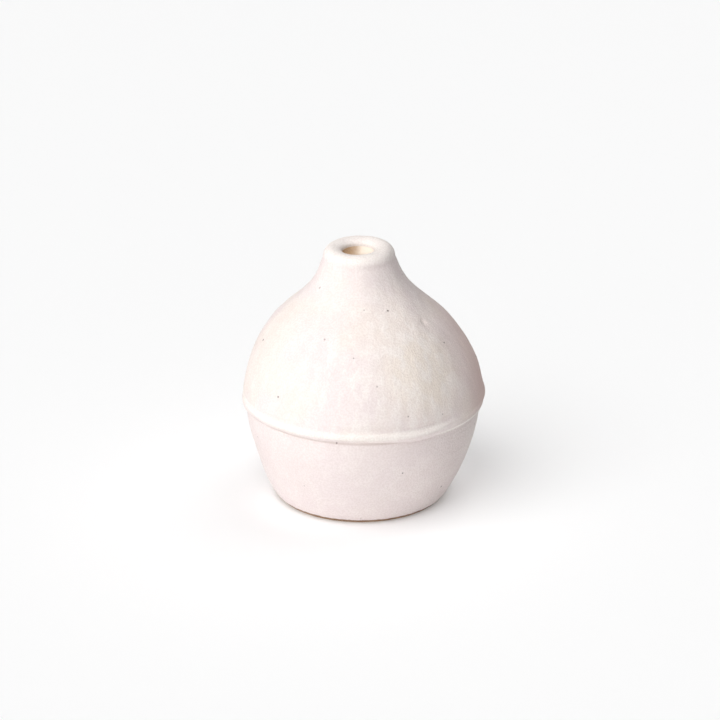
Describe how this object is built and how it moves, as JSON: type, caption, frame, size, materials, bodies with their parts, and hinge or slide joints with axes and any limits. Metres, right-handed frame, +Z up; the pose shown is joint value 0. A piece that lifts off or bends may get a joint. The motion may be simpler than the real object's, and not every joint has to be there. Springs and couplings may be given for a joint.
{
  "type": "ceramic bud vase",
  "caption": "Small round-bellied bud vase with a raised seam ring, a sloping shoulder and a thick neck pierced by a narrow stem hole, in matt white engobe over buff clay.",
  "frame": {"origin": "centre of the flat underside of the foot, on the surface the vase stands on", "axes": "+Z up along the axis of the body, neck and stem hole; the vase is round, so X and Y are alike"},
  "size_m": [0.0752, 0.0752, 0.0796],
  "materials": {
    "clay": "unglazed buff stoneware, dry",
    "slip": "joining slip of the same clay, dry",
    "engobe": "matt white engobe with fine grain and small iron specks",
    "liner": "thin satin clear glaze over buff clay"
  },
  "bodies": {
    "root": {"lower_bowl": "clay", "seam_slip": "slip", "seam_bead": "clay", "upper_dome": "clay", "neck_slip": "slip", "neck_collar": "clay", "engobe_coat": "engobe", "liner_glaze": "liner"}
  },
  "joints": []
}
